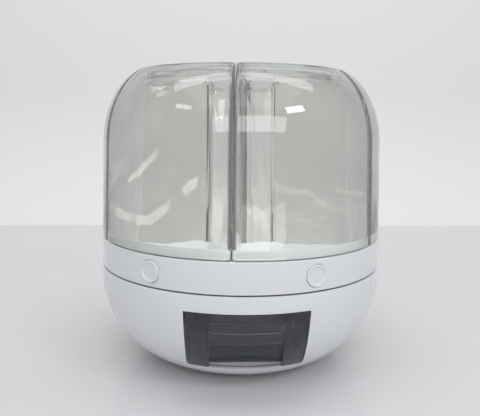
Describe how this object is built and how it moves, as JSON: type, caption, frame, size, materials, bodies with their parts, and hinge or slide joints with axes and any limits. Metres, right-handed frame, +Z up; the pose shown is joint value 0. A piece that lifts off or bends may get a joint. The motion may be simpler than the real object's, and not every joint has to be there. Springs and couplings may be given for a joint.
{
  "type": "rotating grain dispenser",
  "caption": "Round counter-top dry food dispenser: clear wedge bins with plug lids on a turning white ring, press buttons that open gates, and a slide-out measuring cup in a bowl-shaped base.",
  "frame": {"origin": "on the table, under the middle of the object", "axes": "+Z up; the measuring cup's window faces -Y"},
  "size_m": [0.3026, 0.3024, 0.3063],
  "materials": {
    "white": "glossy white",
    "satin_white": "satin white",
    "clear": "clear, glossy",
    "smoke": "smoked clear, glossy",
    "seal": "soft translucent white",
    "grey_rubber": "matt grey",
    "nylon": "natural, satin",
    "steel": "bright zinc"
  },
  "bodies": {
    "base": {"base_shell": "white", "rubber_feet": "grey_rubber", "base_deck": "satin_white", "deck_screws": "steel", "bay_screws": "steel", "cup_bay": "satin_white", "drop_chute": "satin_white", "lower_race": "steel", "spindle": "steel", "hub_washer": "steel", "hub_nut": "steel"},
    "cage": {"roller_cage": "nylon", "bearing_rollers": "nylon"},
    "turntable": {"turntable_ring": "white", "turntable_tray": "satin_white", "upper_race": "steel", "hub_cap": "white", "ring_screws": "steel", "button_springs": "steel"},
    "cup": {"measuring_cup": "smoke"},
    "bin_1": {"bin_1": "clear", "hopper_1": "white"},
    "lid_1": {"lid_1": "clear", "lid_seal_1": "seal"},
    "gate_1": {"gate_1": "satin_white"},
    "button_1": {"button_1": "white"},
    "bin_2": {"bin_2": "clear", "hopper_2": "white"},
    "lid_2": {"lid_2": "clear", "lid_seal_2": "seal"},
    "gate_2": {"gate_2": "satin_white"},
    "button_2": {"button_2": "white"},
    "bin_3": {"bin_3": "clear", "hopper_3": "white"},
    "lid_3": {"lid_3": "clear", "lid_seal_3": "seal"},
    "gate_3": {"gate_3": "satin_white"},
    "button_3": {"button_3": "white"},
    "bin_4": {"bin_4": "clear", "hopper_4": "white"},
    "lid_4": {"lid_4": "clear", "lid_seal_4": "seal"},
    "gate_4": {"gate_4": "satin_white"},
    "button_4": {"button_4": "white"},
    "bin_5": {"bin_5": "clear", "hopper_5": "white"},
    "lid_5": {"lid_5": "clear", "lid_seal_5": "seal"},
    "gate_5": {"gate_5": "satin_white"},
    "button_5": {"button_5": "white"},
    "bin_6": {"bin_6": "clear", "hopper_6": "white"},
    "lid_6": {"lid_6": "clear", "lid_seal_6": "seal"},
    "gate_6": {"gate_6": "satin_white"},
    "button_6": {"button_6": "white"}
  },
  "joints": [
    {"name": "turntable_spin", "type": "hinge", "parent": "base", "child": "turntable", "pos_m": [0, 0, 0.11], "axis": [0, 0, 1], "continuous": true},
    {"name": "cage_spin", "type": "hinge", "parent": "base", "child": "cage", "pos_m": [0, 0, 0.1025], "axis": [0, 0, 1], "continuous": true},
    {"name": "cup_slide", "type": "slide", "parent": "base", "child": "cup", "axis": [0, -1, 0], "range_m": [0, 0.11]},
    {"name": "bin_1_lift", "type": "slide", "parent": "turntable", "child": "bin_1", "axis": [0, 0, 1], "range_m": [0, 0.06]},
    {"name": "lid_1_lift", "type": "slide", "parent": "bin_1", "child": "lid_1", "axis": [0, 0, 1], "range_m": [0, 0.04]},
    {"name": "button_1_press", "type": "slide", "parent": "turntable", "child": "button_1", "axis": [-0.4107, 0.9118, 0], "range_m": [0, 0.011], "stiffness_N_per_m": 270, "springref_m": -0.004, "deforming": ["button_springs"]},
    {"name": "gate_1_slide", "type": "slide", "parent": "bin_1", "child": "gate_1", "axis": [-0.4107, 0.9118, 0], "range_m": [0, 0.011]},
    {"name": "bin_2_lift", "type": "slide", "parent": "turntable", "child": "bin_2", "axis": [0, 0, 1], "range_m": [0, 0.06]},
    {"name": "lid_2_lift", "type": "slide", "parent": "bin_2", "child": "lid_2", "axis": [0, 0, 1], "range_m": [0, 0.04]},
    {"name": "button_2_press", "type": "slide", "parent": "turntable", "child": "button_2", "axis": [-0.995, 0.1002, 0], "range_m": [0, 0.011], "stiffness_N_per_m": 270, "springref_m": -0.004, "deforming": ["button_springs"]},
    {"name": "gate_2_slide", "type": "slide", "parent": "bin_2", "child": "gate_2", "axis": [-0.995, 0.1002, 0], "range_m": [0, 0.011]},
    {"name": "bin_3_lift", "type": "slide", "parent": "turntable", "child": "bin_3", "axis": [0, 0, 1], "range_m": [0, 0.06]},
    {"name": "lid_3_lift", "type": "slide", "parent": "bin_3", "child": "lid_3", "axis": [0, 0, 1], "range_m": [0, 0.04]},
    {"name": "button_3_press", "type": "slide", "parent": "turntable", "child": "button_3", "axis": [-0.5842, -0.8116, 0], "range_m": [0, 0.011], "stiffness_N_per_m": 270, "springref_m": -0.004, "deforming": ["button_springs"]},
    {"name": "gate_3_slide", "type": "slide", "parent": "bin_3", "child": "gate_3", "axis": [-0.5842, -0.8116, 0], "range_m": [0, 0.011]},
    {"name": "bin_4_lift", "type": "slide", "parent": "turntable", "child": "bin_4", "axis": [0, 0, 1], "range_m": [0, 0.06]},
    {"name": "lid_4_lift", "type": "slide", "parent": "bin_4", "child": "lid_4", "axis": [0, 0, 1], "range_m": [0, 0.04]},
    {"name": "button_4_press", "type": "slide", "parent": "turntable", "child": "button_4", "axis": [0.4107, -0.9118, 0], "range_m": [0, 0.011], "stiffness_N_per_m": 270, "springref_m": -0.004, "deforming": ["button_springs"]},
    {"name": "gate_4_slide", "type": "slide", "parent": "bin_4", "child": "gate_4", "axis": [0.4107, -0.9118, 0], "range_m": [0, 0.011]},
    {"name": "bin_5_lift", "type": "slide", "parent": "turntable", "child": "bin_5", "axis": [0, 0, 1], "range_m": [0, 0.06]},
    {"name": "lid_5_lift", "type": "slide", "parent": "bin_5", "child": "lid_5", "axis": [0, 0, 1], "range_m": [0, 0.04]},
    {"name": "button_5_press", "type": "slide", "parent": "turntable", "child": "button_5", "axis": [0.995, -0.1002, 0], "range_m": [0, 0.011], "stiffness_N_per_m": 270, "springref_m": -0.004, "deforming": ["button_springs"]},
    {"name": "gate_5_slide", "type": "slide", "parent": "bin_5", "child": "gate_5", "axis": [0.995, -0.1002, 0], "range_m": [0, 0.011]},
    {"name": "bin_6_lift", "type": "slide", "parent": "turntable", "child": "bin_6", "axis": [0, 0, 1], "range_m": [0, 0.06]},
    {"name": "lid_6_lift", "type": "slide", "parent": "bin_6", "child": "lid_6", "axis": [0, 0, 1], "range_m": [0, 0.04]},
    {"name": "button_6_press", "type": "slide", "parent": "turntable", "child": "button_6", "axis": [0.5842, 0.8116, 0], "range_m": [0, 0.011], "stiffness_N_per_m": 270, "springref_m": -0.004, "deforming": ["button_springs"]},
    {"name": "gate_6_slide", "type": "slide", "parent": "bin_6", "child": "gate_6", "axis": [0.5842, 0.8116, 0], "range_m": [0, 0.011]}
  ],
  "couplings": [
    {"joint": "cage_spin", "follows": "turntable_spin", "ratio": 0.5},
    {"joint": "gate_1_slide", "follows": "button_1_press", "ratio": 1},
    {"joint": "gate_2_slide", "follows": "button_2_press", "ratio": 1},
    {"joint": "gate_3_slide", "follows": "button_3_press", "ratio": 1},
    {"joint": "gate_4_slide", "follows": "button_4_press", "ratio": 1},
    {"joint": "gate_5_slide", "follows": "button_5_press", "ratio": 1},
    {"joint": "gate_6_slide", "follows": "button_6_press", "ratio": 1}
  ]
}
